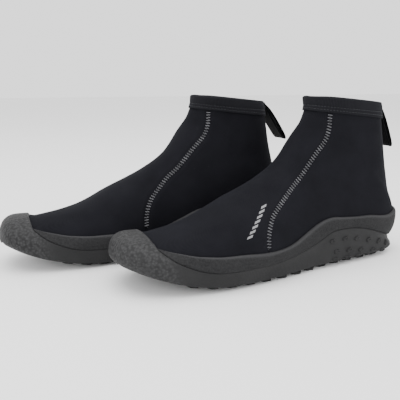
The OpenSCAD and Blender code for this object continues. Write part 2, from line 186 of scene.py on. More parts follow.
def build(name, verts, faces, side, material, uv=None, marks=None, sharp=40):
    me = bpy.data.meshes.new(name)
    v = place(verts, side)
    f = [list(q) for q in faces]
    if side < 0:
        f = [q[::-1] for q in f]
    me.from_pydata(v.tolist(), [], f)
    if uv is not None:
        layer = me.uv_layers.new(name="UVMap")
        loops = np.empty(len(me.loops), int)
        me.loops.foreach_get("vertex_index", loops)
        layer.data.foreach_set("uv", np.asarray(uv, float)[loops].ravel())
    for key, val in (marks or {}).items():
        at = me.attributes.new(key, "FLOAT", "POINT")
        at.data.foreach_set("value", np.asarray(val, np.float32).ravel())
    me.validate()
    for poly in me.polygons:
        poly.use_smooth = True
    if sharp:
        me.set_sharp_from_angle(angle=math.radians(sharp))
    me.materials.append(material)
    ob = bpy.data.objects.new(name, me)
    bpy.context.scene.collection.objects.link(ob)
    return ob


def slab(o, i, k1=0, j1=0, j2=None, tips=None):
    """Closed solid between two grids of points. Rows up to k1 close into rings, later rows
    use columns j1 to j2 only, and tips are two points that close the first ring."""
    n, m = o.shape[:2]
    e = m - 1 if j2 is None else j2
    s = n*m
    f = []
    for r in range(n - 1):
        js = [(j, (j + 1) % m) for j in range(m)] if r < k1 else [(j, j + 1) for j in range(j1, e)]
        for j, k in js:
            a, b, c, d = r*m + j, (r + 1)*m + j, (r + 1)*m + k, r*m + k
            f.append((a, b, c, d))
            f.append((s + d, s + c, s + b, s + a))
    if tips is None:
        js = [(j, (j + 1) % m) for j in range(m)] if k1 else [(j, j + 1) for j in range(j1, e)]
        f += [(j, k, s + k, s + j) for j, k in js]
    else:
        for j in range(m):
            k = (j + 1) % m
            f += [(j, k, 2*s), (s + k, s + j, 2*s + 1)]
    if k1 < n - 1:
        b = (n - 1)*m
        f += [(b + j + 1, b + j, s + b + j, s + b + j + 1) for j in range(j1, e)]
        for r in range(k1, n - 1):
            a, b = r*m + j1, (r + 1)*m + j1
            f.append((b, a, s + a, s + b))
            a, b = r*m + e, (r + 1)*m + e
            f.append((a, b, s + b, s + a))
    if k1:
        b = k1*m
        js = range(m) if k1 == n - 1 else [j for j in range(m) if j < j1 or j >= e]
        f += [(b + (j + 1) % m, b + j, s + b + j, s + b + (j + 1) % m) for j in js]
    grids = [o.reshape(-1, 3), i.reshape(-1, 3)]
    v = np.concatenate(grids if tips is None else grids + [np.array(tips)])
    used = sorted({x for q in f for x in q})
    back = np.full(len(v), -1)
    back[used] = np.arange(len(used))
    return v[used], [tuple(int(back[x]) for x in q) for q in f], np.array(used)


def loft(rings, wrap=False, caps=True):
    """Skin through rings of points; the rings' normal points against the travel."""
    n, m = rings.shape[:2]
    f = []
    for r in range(n if wrap else n - 1):
        a, b = r*m, ((r + 1) % n)*m
        f += [(a + j, b + j, b + (j + 1) % m, a + (j + 1) % m) for j in range(m)]
    if caps and not wrap:
        f += [tuple(range(m)), tuple(n*m - 1 - j for j in range(m))]
    return rings.reshape(-1, 3), f


def fix_out(verts, faces):
    """Turns the faces round if the solid is inside out."""
    v = np.asarray(verts)
    vol = 0.0
    for q in faces:
        for k in range(1, len(q) - 1):
            vol += np.dot(v[q[0]], np.cross(v[q[k]], v[q[k + 1]]))
    return faces if vol > 0 else [q[::-1] for q in faces]


def tube(path, radius, up, sides=8, flat=1.0):
    """Round thread along a path; flat squeezes it along up."""
    path = np.asarray(path, float)
    up = np.broadcast_to(np.asarray(up, float), path.shape)
    tan = unit(np.gradient(path, axis=0))
    sid = unit(np.cross(tan, up))
    nor = unit(np.cross(sid, tan))
    rad = np.full(len(path), radius, float)
    rad[0] *= 0.45
    rad[-1] *= 0.45
    a = np.arange(sides)*2*math.pi/sides
    ring = (path[:, None] + rad[:, None, None]*(np.cos(a)[None, :, None]*sid[:, None]
            + flat*np.sin(a)[None, :, None]*nor[:, None]))
    v, f = loft(ring)
    return v, fix_out(v, f)


def join(parts):
    v, f, n = [], [], 0
    for pv, pf in parts:
        v.append(pv)
        f += [tuple(x + n for x in q) for q in pf]
        n += len(pv)
    return np.concatenate(v), f


# ---------------------------------------------------------------- materials
def material(name, rgb, rough, spec=0.5, sheen=0.0, sheen_rough=0.5, coat=0.0):
    m = bpy.data.materials.new(name)
    m.use_nodes = True
    nt = m.node_tree
    b = nt.nodes["Principled BSDF"]
    b.inputs["Base Color"].default_value = (*rgb, 1)
    b.inputs["Roughness"].default_value = rough
    b.inputs["Specular IOR Level"].default_value = spec
    b.inputs["Sheen Weight"].default_value = sheen
    b.inputs["Sheen Roughness"].default_value = sheen_rough
    b.inputs["Sheen Tint"].default_value = (0.75, 0.8, 1.0, 1)
    b.inputs["Coat Weight"].default_value = coat
    return m, nt, b


def node(nt, kind, inputs=None, **props):
    n = nt.nodes.new(kind)
    for k, v in props.items():
        setattr(n, k, v)
    for k, v in (inputs or {}).items():
        if isinstance(v, bpy.types.NodeSocket):
            nt.links.new(v, n.inputs[k])
        else:
            n.inputs[k].default_value = v
    return n


def coords(nt, kind):
    return node(nt, "ShaderNodeTexCoord").outputs[kind]


def math_(nt, op, a, b):
    n = node(nt, "ShaderNodeMath", operation=op)
    for i, x in enumerate((a, b)):
        if isinstance(x, bpy.types.NodeSocket):
            nt.links.new(x, n.inputs[i])
        else:
            n.inputs[i].default_value = x
    return n.outputs[0]


def mix(nt, fac, a, b):
    n = node(nt, "ShaderNodeMix", data_type="RGBA")
    for i, x in ((0, fac), (6, a), (7, b)):
        if isinstance(x, bpy.types.NodeSocket):
            nt.links.new(x, n.inputs[i])
        else:
            n.inputs[i].default_value = x if i == 0 else (*x, 1)
    return n.outputs[2]


def spread(nt, fac, lo, hi, a=0.0, b=1.0):
    n = node(nt, "ShaderNodeMapRange", {"Value": fac})
    for k, x in (("From Min", lo), ("From Max", hi), ("To Min", a), ("To Max", b)):
        n.inputs[k].default_value = x
    return n.outputs[0]


def mark(nt, name):
    return node(nt, "ShaderNodeAttribute", attribute_name=name).outputs["Fac"]


def bump(nt, b, layers):
    """Stacks bump layers: (height socket, strength, distance in metres)."""
    last = None
    for h, strength, dist in layers:
        n = node(nt, "ShaderNodeBump", {"Height": h, "Distance": dist})
        if isinstance(strength, bpy.types.NodeSocket):
            nt.links.new(strength, n.inputs["Strength"])
        else:
            n.inputs["Strength"].default_value = strength
        if last is not None:
            nt.links.new(last, n.inputs["Normal"])
        last = n.outputs["Normal"]
    nt.links.new(last, b.inputs["Normal"])


def noise_(nt, vec, scale, detail=4.0, rough=0.55):
    return node(nt, "ShaderNodeTexNoise", {"Vector": vec, "Scale": scale, "Detail": detail,
                                           "Roughness": rough}).outputs["Fac"]


def cells(nt, vec, scale, feature="F1"):
    return node(nt, "ShaderNodeTexVoronoi", {"Vector": vec, "Scale": scale},
                feature=feature).outputs["Distance"]


def waves(nt, vec, scale, distort=0.0, axis="X"):
    return node(nt, "ShaderNodeTexWave", {"Vector": vec, "Scale": scale, "Distortion": distort,
                                          "Detail": 1.0}, bands_direction=axis).outputs["Fac"]


def jersey():
    """Matte knit face of the neoprene: tiny loops, soft clouding, a little lint."""
    m, nt, b = material("neoprene_jersey", (0.008, 0.008, 0.01), 0.9, 0.05, 0.012, 0.5)
    uv = coords(nt, "UV")
    ob = coords(nt, "Object")
    wale = waves(nt, uv, 330.0, 1.2, "X")
    course = waves(nt, uv, 420.0, 1.6, "Y")
    loops = math_(nt, "MULTIPLY", wale, course)
    cloud = noise_(nt, ob, 28.0, 5.0, 0.6)
    fine = noise_(nt, ob, 900.0, 3.0, 0.7)
    lint = spread(nt, noise_(nt, ob, 420.0, 2.0, 0.5), 0.72, 0.8)
    base = mix(nt, spread(nt, cloud, 0.3, 0.7), (0.0042, 0.0042, 0.0056), (0.0074, 0.0074, 0.0095))
    base = mix(nt, math_(nt, "MULTIPLY", loops, 0.5), base, (0.0115, 0.0115, 0.0145))
    base = mix(nt, math_(nt, "MULTIPLY", lint, 0.25), base, (0.04, 0.04, 0.042))
    nt.links.new(base, b.inputs["Base Color"])
    nt.links.new(spread(nt, fine, 0.2, 0.8, 0.8, 0.95), b.inputs["Roughness"])
    bump(nt, b, [(cloud, 0.12, 0.0008), (loops, 0.35, 0.00012), (fine, 0.25, 0.00008)])
    return m


def ribbed(name, dark, light):
    """Ribbed knit of the collar binding."""
    m, nt, b = material(name, dark, 0.88, 0.06, 0.012, 0.5)
    uv = coords(nt, "UV")
    ob = coords(nt, "Object")
    rib = waves(nt, uv, 240.0, 0.6, "X")
    knit = waves(nt, uv, 500.0, 1.5, "Y")
    fuzz = noise_(nt, ob, 700.0, 3.0, 0.7)
    cloud = noise_(nt, ob, 60.0, 4.0, 0.6)
    base = mix(nt, math_(nt, "MULTIPLY", rib, spread(nt, cloud, 0.25, 0.75, 0.5, 1.0)), dark, light)
    nt.links.new(base, b.inputs["Base Color"])
    bump(nt, b, [(rib, 0.5, 0.00025), (knit, 0.25, 0.0001), (fuzz, 0.3, 0.00012)])
    return m


def webbing():
    """Pull tab: plain weave."""
    m, nt, b = material("tab_webbing", (0.006, 0.006, 0.007), 0.8, 0.05, 0.005, 0.4)
    uv = coords(nt, "UV")
    warp = waves(nt, uv, 150.0, 0.15, "Y")
    weft = waves(nt, uv, 260.0, 0.3, "X")
    weave = math_(nt, "MULTIPLY", warp, math_(nt, "ADD", 0.45, math_(nt, "MULTIPLY", weft, 0.55)))
    fuzz = noise_(nt, coords(nt, "Object"), 1200.0, 2.0, 0.6)
    nt.links.new(mix(nt, weave, (0.0025, 0.0025, 0.003), (0.009, 0.009, 0.0105)), b.inputs["Base Color"])
    bump(nt, b, [(weave, 0.8, 0.0004), (fuzz, 0.25, 0.0001)])
    return m


def rubber_sole():
    """Moulded rubber: dimpled toe cap with a painted highlight in its dimples, fine grain with ribs on
    the sides, smooth heel flank.
    """
    m, nt, b = material("sole_rubber", (0.016, 0.016, 0.0165), 0.66, 0.14)
    ob = coords(nt, "Object")
    uv = coords(nt, "UV")
    cap, plain, rib = mark(nt, "cap"), mark(nt, "plain"), mark(nt, "rib")
    dimple = cells(nt, ob, 480.0, "SMOOTH_F1")
    grain = cells(nt, ob, 1100.0)
    fine = noise_(nt, ob, 1500.0, 2.0, 0.6)
    cloud = noise_(nt, ob, 35.0, 5.0, 0.6)
    scuff = spread(nt, noise_(nt, ob, 190.0, 6.0, 0.75), 0.6, 0.75)
    rough_side = math_(nt, "SUBTRACT", 1.0, plain)
    base = mix(nt, spread(nt, cloud, 0.3, 0.7), (0.0125, 0.0125, 0.013), (0.0185, 0.0185, 0.019))
    # painted highlight: the toe cap's dimples get a lighter grey, standing in for light caught on the
    # top and sides of the cap
    cap_dimple_highlight = math_(nt, "MULTIPLY", cap, spread(nt, dimple, 0.0, 0.6, 0.55, 0.0))
    base = mix(nt, cap_dimple_highlight, base, (0.058, 0.058, 0.06))
    base = mix(nt, math_(nt, "MULTIPLY", scuff, 0.3), base, (0.032, 0.032, 0.033))
    nt.links.new(base, b.inputs["Base Color"])
    nt.links.new(spread(nt, fine, 0.2, 0.8, 0.5, 0.68), b.inputs["Roughness"])
    ribs = waves(nt, uv, 190.0, 0.4, "X")
    bump(nt, b, [(dimple, math_(nt, "MULTIPLY", cap, 0.8), 0.0007),
                 (ribs, math_(nt, "MULTIPLY", rib, 0.3), 0.0004),
                 (grain, math_(nt, "MULTIPLY", rough_side, 0.5), 0.0003),
                 (fine, 0.2, 0.0001)])
    return m


def rubber_band():
    """Foxing band: coarse stipple with a painted highlight along its rounded top edge."""
    m, nt, b = material("foxing_rubber", (0.016, 0.016, 0.0165), 0.74, 0.1)
    ob = coords(nt, "Object")
    edge = mark(nt, "edge")
    stipple = cells(nt, ob, 850.0)
    lumps = noise_(nt, ob, 600.0, 5.0, 0.75)
    cloud = noise_(nt, ob, 40.0, 5.0, 0.6)
    base = mix(nt, spread(nt, lumps, 0.35, 0.65), (0.0085, 0.0085, 0.009), (0.023, 0.023, 0.024))
    worn = math_(nt, "MULTIPLY", spread(nt, cloud, 0.35, 0.65), 0.3)
    base = mix(nt, worn, base, (0.026, 0.026, 0.027))
    # painted highlight: the edge mark lightens the band's rounded top edge, where the light from above
    # falls
    base = mix(nt, math_(nt, "MULTIPLY", edge, 0.6), base, (0.045, 0.045, 0.047))
    nt.links.new(base, b.inputs["Base Color"])
    bump(nt, b, [(lumps, 0.7, 0.0007), (stipple, 0.5, 0.0004)])
    return m


def thread(name, rgb, dark, toned=False):
    """Twisted thread; with toned the mesh's own mark says how light each stitch is."""
    m, nt, b = material(name, rgb, 0.6, 0.4, 0.1, 0.4)
    ob = coords(nt, "Object")
    twist = waves(nt, ob, 700.0, 1.0, "DIAGONAL")
    dirt = noise_(nt, ob, 120.0, 4.0, 0.6)
    c = mix(nt, math_(nt, "MULTIPLY", twist, 0.5), rgb, dark)
    c = mix(nt, spread(nt, dirt, 0.45, 0.75, 0.0, 0.5), c, dark)
    if toned:
        c = mix(nt, mark(nt, "tone"), dark, c)
    nt.links.new(c, b.inputs["Base Color"])
    bump(nt, b, [(twist, 0.6, 0.0002)])
    return m


def printed():
    m, nt, b = material("side_print", (0.3, 0.3, 0.31), 0.6, 0.25)
    ob = coords(nt, "Object")
    wear = spread(nt, noise_(nt, ob, 500.0, 6.0, 0.8), 0.42, 0.58)
    base = mix(nt, math_(nt, "MULTIPLY", wear, 0.35), (0.21, 0.21, 0.218), (0.07, 0.07, 0.073))
    nt.links.new(base, b.inputs["Base Color"])
    bump(nt, b, [(waves(nt, coords(nt, "UV"), 330.0, 1.2, "X"), 0.2, 0.0001)])
    return m


def fibre(name, a, c, scale):
    m, nt, b = material(name, a, 0.92, 0.2, 0.1)
    ob = coords(nt, "Object")
    n1 = noise_(nt, ob, scale, 6.0, 0.75)
    n2 = cells(nt, ob, scale*2.2)
    nt.links.new(mix(nt, n1, a, c), b.inputs["Base Color"])
    bump(nt, b, [(n1, 0.4, 0.0004), (n2, 0.3, 0.0002)])
    return m


MAT = {"neoprene": jersey(),
       "binding": ribbed("collar_jersey", (0.0065, 0.0065, 0.008), (0.014, 0.014, 0.0165)),
       "webbing": webbing(),
       "sole": rubber_sole(),
       "band": rubber_band(),
       "thread": thread("seam_thread", (0.16, 0.16, 0.17), (0.022, 0.022, 0.025), toned=True),
       "dark_thread": thread("dark_thread", (0.012, 0.012, 0.014), (0.005, 0.005, 0.006)),
       "print": printed(),
       "board": fibre("insole_fibre", (0.2, 0.17, 0.13), (0.32, 0.28, 0.22), 300.0),
       "footbed": fibre("footbed_knit", (0.02, 0.02, 0.024), (0.045, 0.045, 0.05), 500.0)}

# ---------------------------------------------------------------- the upper
# Angles of the vamp's columns at the toe end
HALF_V = [0, 9, 17, 24, 28, 31.5, 34.5, 37.5, 40.5, 43.5, 47, 51.5, 57, 65, 76, 95, 120, 135, 150,
          165, 180]
SEAM_TV = catmull(SEAM, np.linspace(0, 15, 700))
SEAM_OUT, SEAM_IN = [skin(q[:, 0], q[:, 1]) for q in (SEAM_TV, seam_side(SEAM_TV, False))]
BACK_T = np.linspace(6.2, T_COLLAR, 300)
BACK_LINE = skin(BACK_T, np.full(300, 180.0))


def relief(p):
    """Soft unevenness of the stretched neoprene and the valleys along its seams."""
    d = np.minimum(away(p, SEAM_OUT), away(p, SEAM_IN))
    b = away(p, BACK_LINE)
    ripple = 1 + 0.25*bumps(p, 0.33, 3.1)
    r = -1.0*np.exp(-(d/1.7)**2)*ripple + 0.3*np.exp(-((d - 5.2)/2.2)**2)
    r += -0.45*np.exp(-(b/0.9)**2)
    r += 0.55*bumps(p, 0.028, 7.7) + 0.22*bumps(p, 0.07, 1.3)
    return r


def panel_uv(p):
    """Flat-ish coordinates in metres for the knit."""
    across = p[..., 0] + 0.35*p[..., 1]
    up = p[..., 2] + 0.5*np.abs(p[..., 1])
    return np.stack([across, up], -1).reshape(-1, 2)/1000


def panel(name, t, v, side, flip=False, k1=0, tips=None):
    """Neoprene sheet over a grid of stations t and angles v."""
    base, n = skin(t, v), out(t, v)
    o = base + relief(base)[..., None]*n
    i = base - NEO*n
    if flip:
        o, i = o[::-1], i[::-1]
    vv, ff, used = slab(o, i, k1=k1, tips=tips)
    uv = [panel_uv(o), panel_uv(i)]
    if tips is not None:
        uv.append(np.zeros((2, 2)))
    return build(name, vv, ff, side, MAT["neoprene"], uv=np.concatenate(uv)[used], sharp=60)


def vamp(side, name):
    """Front panel: round the toes in one piece, then up to the collar between the seams."""
    a = np.r_[np.linspace(0, 3, 12), np.linspace(3, 20, 112)[1:]]
    v0 = np.interp(a, np.arange(21), HALF_V)
    s = catmull(SEAM, np.clip(a - 3, 0, 15))
    rim = np.stack([np.full(len(a), T_COLLAR), 43*a/3], 1)
    low = np.stack([np.full(len(a), 5.5), 150 + 15*(a - 18)], 1)
    e = np.where(a[:, None] <= 3, rim, np.where(a[:, None] >= 18, low, s))
    v0 = np.r_[v0, 360 - v0[-2:0:-1]]
    e = np.r_[e, seam_side(e, False)[-2:0:-1]]
    et, ev = e[:, 0], e[:, 1]
    toe = np.r_[np.linspace(0.12, 1, 12), np.linspace(1.08, 5.2, 46)]
    f = np.linspace(0, 1, 66)[1:, None]
    t = np.concatenate([np.repeat(toe[:, None], len(v0), 1), 5.2 + f*(et[None] - 5.2)])
    v = np.concatenate([np.repeat(v0[None], len(toe), 0), v0[None] + f*(ev[None] - v0[None])])
    tip = sec(LAST, 0.0, 0.0)
    return panel(name, t, v, side, k1=len(t) - 1, tips=[tip, tip - [NEO, 0, 0]])


def quarter(side, name, outer):
    """Rear panel of one side, from the seam to the line up the back of the heel."""
    u = np.linspace(0, 15, 116)
    s = seam_side(catmull(SEAM, u), outer)
    bt = np.interp(u, np.arange(16), BACK)
    f = np.linspace(0, 1, 64)[:, None]
    t = s[None, :, 0] + f*(bt[None] - s[None, :, 0])
    v = s[None, :, 1] + f*((179.97 if outer else 180.03) - s[None, :, 1])
    return panel(name, t, v, side, flip=not outer)


# ---------------------------------------------------------------- collar binding
# Profiles of the folded band: distance below the edge, height over the skin. The two hollows
# on the outside, at STITCH_ROWS, are where the stitches pull the band in.
BIND_OUT = ((13.5, 0.2), (13.55, 0.7), (13.45, 1.15), (13.15, 1.42), (12.6, 1.5), (11.9, 1.5),
            (11.3, 1.36), (11.0, 1.2), (10.7, 1.36), (10.2, 1.55), (9.4, 1.6), (8.6, 1.52),
            (8.3, 1.4), (8.0, 1.24), (7.7, 1.4), (7.3, 1.58), (6.2, 1.72), (4.8, 1.78),
            (3.2, 1.72), (1.6, 1.56), (0.3, 1.4))
BIND_IN = ((0.3, -4.38), (3, -4.4), (6, -4.38), (9, -4.3), (10.3, -4.1), (10.5, -3.6),
           (10.4, -3.2), (6, -3.15), (0.2, -3.15))
BIND_FOLD = (12, 30, 50, 70, 90, 110, 130, 150, 168)
STITCH_ROWS = (11.0, 8.0)


def collar(side, name):
    v = np.arange(0, 360, 1.5)
    ts = np.linspace(T_COLLAR, 9.2, 260)
    grid = skin(ts[:, None], v[None, :])
    steps = np.linalg.norm(np.diff(grid, axis=0), axis=2)
    arc = np.r_[np.zeros((1, len(v))), np.cumsum(steps, axis=0)]
    tall = 14*(1 - 0.1*np.cos(np.radians(v)))/13.5

    def drop(s):
        return np.array([np.interp(s*tall[k], arc[:, k], ts) for k in range(len(v))])

    e, n = skin(T_COLLAR, v), out(np.full(len(v), T_COLLAR), v)
    d = unit(e - skin(13.7, v))
    loop = np.r_[0, np.cumsum(np.linalg.norm(np.diff(e, axis=0), axis=1))]
    wob = np.array([noise.noise(Vector((q[0]*0.06, q[1]*0.06, 4.2))) for q in e])
    pts, vs = [], []
    for s, o in BIND_OUT:
        pts.append(skin(drop(s), v, o + 0.18*wob))
        vs.append(s)
    c = e - n*(NEO/2)
    for a in np.radians(BIND_FOLD):
        over = math.sin(a)*1.5 + 0.1*math.sin(a)*wob[:, None]
        pts.append(c + n*(math.cos(a)*(NEO/2 + 1.38)) + d*over)
        vs.append(-math.sin(a)*1.5 - (a > 1.57)*1.5)
    for s, o in BIND_IN:
        pts.append(skin(drop(s), v, o))
        vs.append(-6 - s)
    pts.append(e - n*(NEO + 0.15) + d*0.15)
    pts.append(e + n*0.15 + d*0.15)
    pts.append(skin(drop(6.0), v, 0.15))
    vs += [-8, -9, 6]
    rings = np.stack(pts, 1)
    vv, ff = loft(rings, wrap=True)
    uv = np.stack([np.repeat(loop, len(pts)), np.tile(vs, len(v))], 1)/1000
    ob = build(name, vv, fix_out(vv, ff), side, MAT["binding"], uv=uv, sharp=70)
    stitches = []
    for s in STITCH_ROWS:
        t = drop(s)
        line, nn = skin(t, v, 1.22), out(t, v)
        line, nn = np.r_[line, line[:1]], np.r_[nn, nn[:1]]
        sl, at = even(line, 3.0)
        for q in at[:-1]:
            p = [[np.interp(q + x, sl, line[:, k]) for k in range(3)]
                 for x in (0.2, 0.6, 1.2, 1.8, 2.2)]
            u = unit(np.array([np.interp(q + 1.2, sl, nn[:, k]) for k in range(3)]))
            lift = np.array([-0.15, 0.14, 0.22, 0.14, -0.15])[:, None]*u
            stitches.append(tube(np.array(p) + lift, 0.27, u, 6))
    vv, ff = join(stitches)
    st = build(name + "_stitches", vv, ff, side, MAT["dark_thread"])
    return ob, st


# ---------------------------------------------------------------- seam stitches and print
# Zigzag: thick bars across the seam (share of the half-width, lift) and the thin links between
# them (share of the way, lift)
SEAM_BAR = ((-1.05, -0.5), (-0.92, 0.05), (-0.6, 0.18), (-0.2, -0.22),
            (0.2, -0.22), (0.6, 0.18), (0.92, 0.05), (1.05, -0.5))
SEAM_LINK = ((0.02, -0.4), (0.15, 0.0), (0.35, -0.2), (0.5, -0.35),
             (0.65, -0.2), (0.85, 0.0), (0.98, -0.4))
SEAM_HALF, SEAM_STEP = 2.0, 2.75


def seam_stitches(side, name, outer):
    tv = seam_side(catmull(SEAM, np.linspace(1.75, 11.6, 900)), outer)
    line = skin(tv[:, 0], tv[:, 1])
    s, at = even(line, SEAM_STEP)
    parts = []
    rng = np.random.default_rng(5 + side + (2 if outer else 0))

    def spot(q, across, lift):
        t = np.interp(q, s, tv[:, 0])
        v = np.interp(q, s, tv[:, 1])
        c, n = skin(t, v), out(t, v)
        ahead = skin(np.interp(q + 0.5, s, tv[:, 0]), np.interp(q + 0.5, s, tv[:, 1]))
        tan = unit(ahead - c)
        x = unit(np.cross(n, tan))
        return c + x*across + n*lift, n

    tone = []
    for q in at:
        q2 = q + rng.uniform(-0.12, 0.12)
        path = [spot(q2 + 0.25*a, a*SEAM_HALF, z)[0] for a, z in SEAM_BAR]
        parts.append(tube(path, 0.44 + rng.uniform(-0.05, 0.04), spot(q2, 0, 0)[1], 8, 0.85))
        tone += [rng.uniform(0.3, 1.0)]*len(parts[-1][0])
        path = [spot(q2 + 0.2 + 2.3*f, (1 - 2*f)*SEAM_HALF*0.85, z)[0] for f, z in SEAM_LINK]
        parts.append(tube(path, 0.24, spot(q2, 0, 0)[1], 6))
        tone += [0.0]*len(parts[-1][0])
    vv, ff = join(parts)
    return build(name, vv, ff, side, MAT["thread"], marks={"tone": tone}, sharp=None)


def print_bars(side, name):
    """A generic row of slanted bars in front of the outer seam."""
    parts = []
    for k in range(7):
        f = np.linspace(0, 1, 5)[:, None]
        g = np.linspace(-0.08, 0.08, 9)[None]
        t = 4.95 + 0.1*k + 0.04*f + g
        v = 67 - 4*k - 2.4*f + 0*g
        base, n = skin(t, v), out(t, v)
        r = relief(base)[..., None]
        o, i = base + n*(r + 0.16), base + n*(r - 0.1)
        vv, ff, _ = slab(o[::-1], i[::-1])
        parts.append((vv, fix_out(vv - vv.mean(0), ff)))
    vv, ff = join(parts)
    uv = np.stack([vv[:, 0], vv[:, 2]], 1)/1000
    return build(name, vv, ff, side, MAT["print"], uv=uv)


# ---------------------------------------------------------------- rubber
# Profile of the band: share of the way from its top line to its low line, height over the skin
FOXING_PROFILE = (
    (0.0, 0.1), (0.0, 1.2), (0.012, 1.9), (0.04, 2.35), (0.085, 2.62), (0.15, 2.8), (0.24, 2.98),
    (0.34, 3.15), (0.45, 3.35), (0.56, 3.5), (0.67, 3.6), (0.78, 3.66), (0.87, 3.66), (0.93, 3.55),
    (0.965, 3.3), (0.985, 2.9), (0.985, 2.2), (0.985, 0.1), (0.75, 0.1), (0.5, 0.1), (0.25, 0.1))
RIM_ROUND = 1.1      # rounding of the cup sole's upper edge


def both_sides(line):
    """A line of (t, v) on the outer side, carried on round the heel to the inner side."""
    return np.r_[line, (line*[1, -1] + [0, 360])[-2::-1]]


def foxing(side, name):
    u = np.linspace(0, 20, 260)
    a, b = catmull(BAND_TOP, u), catmull(BAND_LOW, u)
    a[-1, 1] = b[-1, 1] = 180
    a, b = both_sides(a), both_sides(b)
    pts, e = [], []
    for f, o in FOXING_PROFILE:
        q = a + f*(b - a)
        base = skin(q[:, 0], q[:, 1], o)
        if o > 2:
            base = base + 0.12*bumps(base, 0.5, 2.0)[:, None]*out(q[:, 0], q[:, 1])
        pts.append(base)
        # edge mark for the painted highlight along the band's rounded top edge
        e.append(math.exp(-((f - 0.05)/0.07)**2) if o > 1 else 0.0)
    rings = np.stack(pts, 1)
    vv, ff = loft(rings)
    return build(name, vv, fix_out(vv, ff), side, MAT["band"],
                 marks={"edge": np.tile(e, len(a))}, sharp=55)


def sole(side, name):
    """Cup sole with the toe cap. The rim of cap and lip is rounded over RIM_ROUND."""
    cap_v = np.r_[np.linspace(0, 44, 23), 46, 48, 49.5, 50.6, 51.4]
    near = np.array([0, 0.004, 0.009, 0.015, 0.022, 0.032])
    f = np.r_[near, np.linspace(0.045, 0.955, 92), 1 - near[::-1]]
    ring = np.r_[cap_v, 52 + 256*f, 360 - cap_v[:0:-1]]
    m, j1 = len(ring), len(cap_v)
    j2 = j1 + len(f) - 1
    cap_t = np.r_[np.linspace(0.1, 1, 14), np.linspace(1.07, 2.5, 26),
                  2.54, 2.57, 2.59, 2.605, 2.614, 2.62]
    t = [np.full(m, q) for q in cap_t]
    v = [ring.copy() for _ in cap_t]
    u = np.r_[0.06, 0.14, 0.25, np.linspace(0.4, 18.6, 150), 18.75, 18.86, 18.94, 19]
    for q in catmull(BAND_LOW[:-1], u):
        row = ring.copy()
        row[j1:j2 + 1] = q[1] + f*(360 - 2*q[1])
        t.append(np.full(m, q[0]))
        v.append(row)
    t, v = np.array(t), np.array(v)
    k1 = len(cap_t) - 1
    o, i = cup(t, v), skin(t, v, np.full(t.shape, GAP))
    uu = np.linspace(0, 19, 900)
    lip = catmull(BAND_LOW[:-1], uu)
    heel_v = np.linspace(lip[-1, 1], 360 - lip[-1, 1], 80)
    rim = np.concatenate([cup(lip[:, 0], lip[:, 1]), cup(lip[:, 0], 360 - lip[:, 1]),
                          cup(np.full(300, 2.62), np.linspace(-52, 52, 300) % 360),
                          cup(np.full(80, lip[-1, 0]), heel_v)])
    d = np.clip(away(o, rim), 0, RIM_ROUND)
    dip = RIM_ROUND - np.sqrt(np.maximum(RIM_ROUND**2 - (RIM_ROUND - d)**2, 0))
    o = o - dip[..., None]*out(t, v)
    a = np.where(v > 180, 360 - v, v)
    cap = ramp((3.1 - t)/0.5)*ramp((175 - a)/25)
    plain = ramp((t - 7.1)/0.35)*ramp((a - 100)/8)
    rib = ramp((t - 4.2)/0.5)*ramp((7.3 - t)/0.5)*ramp((165 - a)/12)
    tip = [sec(SHELL, 0.0, 0.0), sec(LAST, 0.0, 0.0) + [GAP, 0, 0]]
    vv, ff, used = slab(o, i, k1=k1, j1=j1, j2=j2, tips=tip)

    def both(q):
        return np.concatenate([q.ravel(), q.ravel(), [1.0, 1.0]])[used]

    along = np.concatenate([o[..., 0].ravel(), i[..., 0].ravel(), [0, 0]])[used]
    uv = np.stack([along/1000, both(a*0.8)/1000], 1)
    return build(name, vv, ff, side, MAT["sole"], uv=uv, sharp=50,
                 marks={"cap": both(cap), "plain": both(plain), "rib": both(rib)})


def under(x):
    """Height of the sole's underside over the floor: toe spring and heel bevel."""
    return 22.5*np.maximum(0, (x - 195)/95)**2 + 4.5*np.maximum(0, (45 - x)/45)**2


TREAD_FIRST, TREAD_END, TREAD_STEP = 24, 235, 17.5


def station_under(x):
    """Station of the shell whose lowest point lies about x along the boot."""
    if x > 215:
        return 4 - (x - 215)/29.5
    if x > 51:
        return 8 - 4*(x - 51)/164
    return 9 - (x - 6)/45


def tread(side, name):
    parts = []
    for x in np.arange(TREAD_FIRST, TREAD_END, TREAD_STEP):
        t = station_under(x)
        w = catmull(SHELL, np.array(t), hold=False)
        rings = []
        for f in np.linspace(-1, 1, 33):
            y = f*((w[4] if f > 0 else w[5]) - 13)
            s = 3*(1 - abs(f))
            end = 1 - max(0, abs(f) - 0.94)*6
            cut = 5.9*end
            shape = ((-cut, 2.6), (-cut + 0.15, 0.5), (-cut + 0.7, 0.05),
                     (cut - 0.7, 0.05), (cut - 0.15, 0.5), (cut, 2.6))
            rings.append([[x + dx + s, y, float(under(np.array(x + dx + s))) + dz]
                          for dx, dz in shape])
        vv, ff = loft(np.array(rings))
        parts.append((vv, fix_out(vv - vv.mean(0), ff)))
    vv, ff = join(parts)
    n = len(vv)
    return build(name, vv, ff, side, MAT["sole"], sharp=30,
                 marks={"cap": np.zeros(n), "plain": np.zeros(n), "rib": np.zeros(n)})


# Station and angle of each nub of one flank, by row
NUBS = [[(7.45, 107), (7.8, 110), (8.12, 115.5), (8.42, 122.5), (8.68, 131.5), (8.88, 143)],
        [(7.5, 117), (7.82, 121), (8.12, 127), (8.4, 135), (8.62, 146)],
        [(7.42, 128), (7.72, 131), (8, 137), (8.25, 145)]]
# Share of the nub's half-length and half-width, height
NUB_PROFILE = ((1.12, -0.5), (1.06, 0.25), (1.0, 0.85), (0.9, 1.2), (0.76, 1.3),
               (0.62, 1.12), (0.45, 0.75), (0.22, 0.62), (0.05, 0.6))
NUB_LONG, NUB_WIDE = 3.4, 2.0


